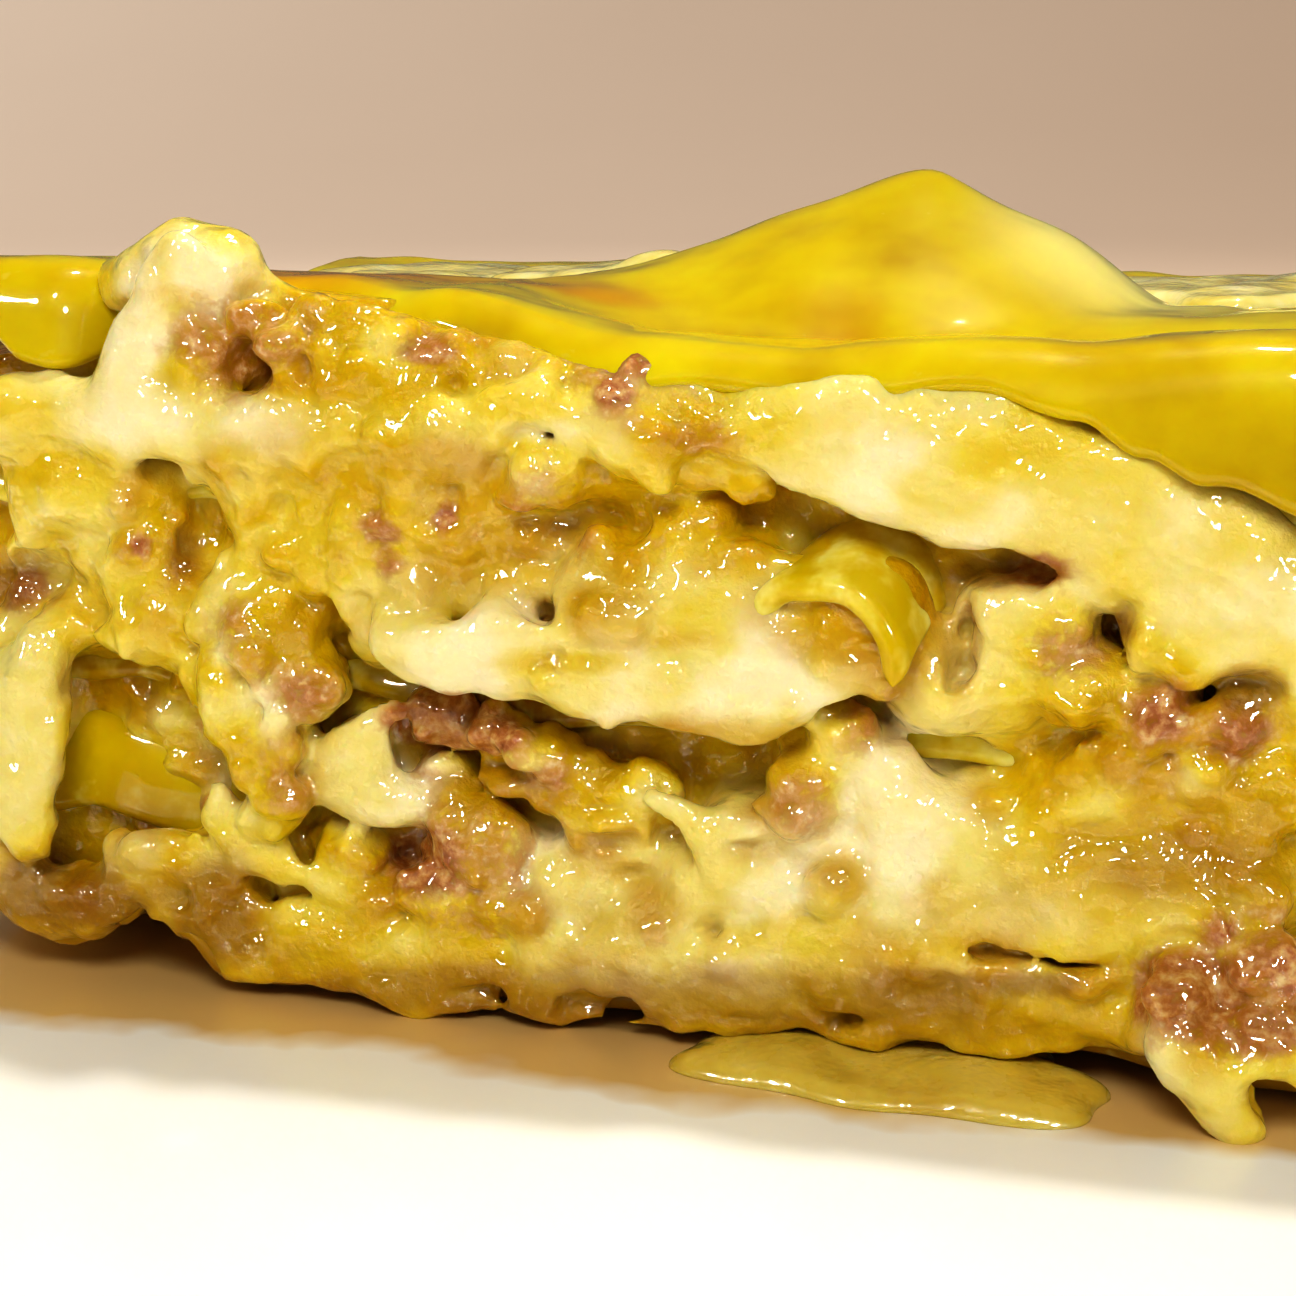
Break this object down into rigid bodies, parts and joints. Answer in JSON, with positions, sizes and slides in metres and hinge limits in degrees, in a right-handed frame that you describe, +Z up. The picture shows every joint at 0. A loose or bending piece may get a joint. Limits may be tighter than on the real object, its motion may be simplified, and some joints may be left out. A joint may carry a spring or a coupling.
{
  "type": "lasagne slice",
  "caption": "Slice of white lasagne on its plate: wavy egg-pasta sheets with bechamel and minced sausage between them, a draped top sheet with a raised fold, and some sauce run out in front.",
  "frame": {"origin": "centre of the plate's foot ring, on the table it stands on", "axes": "+Z up; the slice's shown cut face looks along -Y; +X is to the right of that face"},
  "size_m": [0.24, 0.24, 0.0555],
  "materials": {
    "porcelain": "white glaze",
    "pasta": "wet and oily",
    "filling": "wet",
    "sauce": "wet and oily",
    "cheese": "melted and glossy"
  },
  "bodies": {
    "root": {"plate": "porcelain", "pasta_sheet_1": "pasta", "pasta_sheet_2": "pasta", "pasta_sheet_3": "pasta", "pasta_sheet_4": "pasta", "pasta_sheet_5": "pasta", "pasta_curl": "pasta", "filling_1": "filling", "filling_2": "filling", "filling_3": "filling", "filling_4": "filling", "fallen_mince": "filling", "sauce_drip": "sauce", "sauce_pool": "sauce", "melted_cheese_knob": "cheese", "melted_cheese_patch_1": "cheese", "melted_cheese_patch_2": "cheese", "melted_cheese_patch_3": "cheese"}
  },
  "joints": []
}
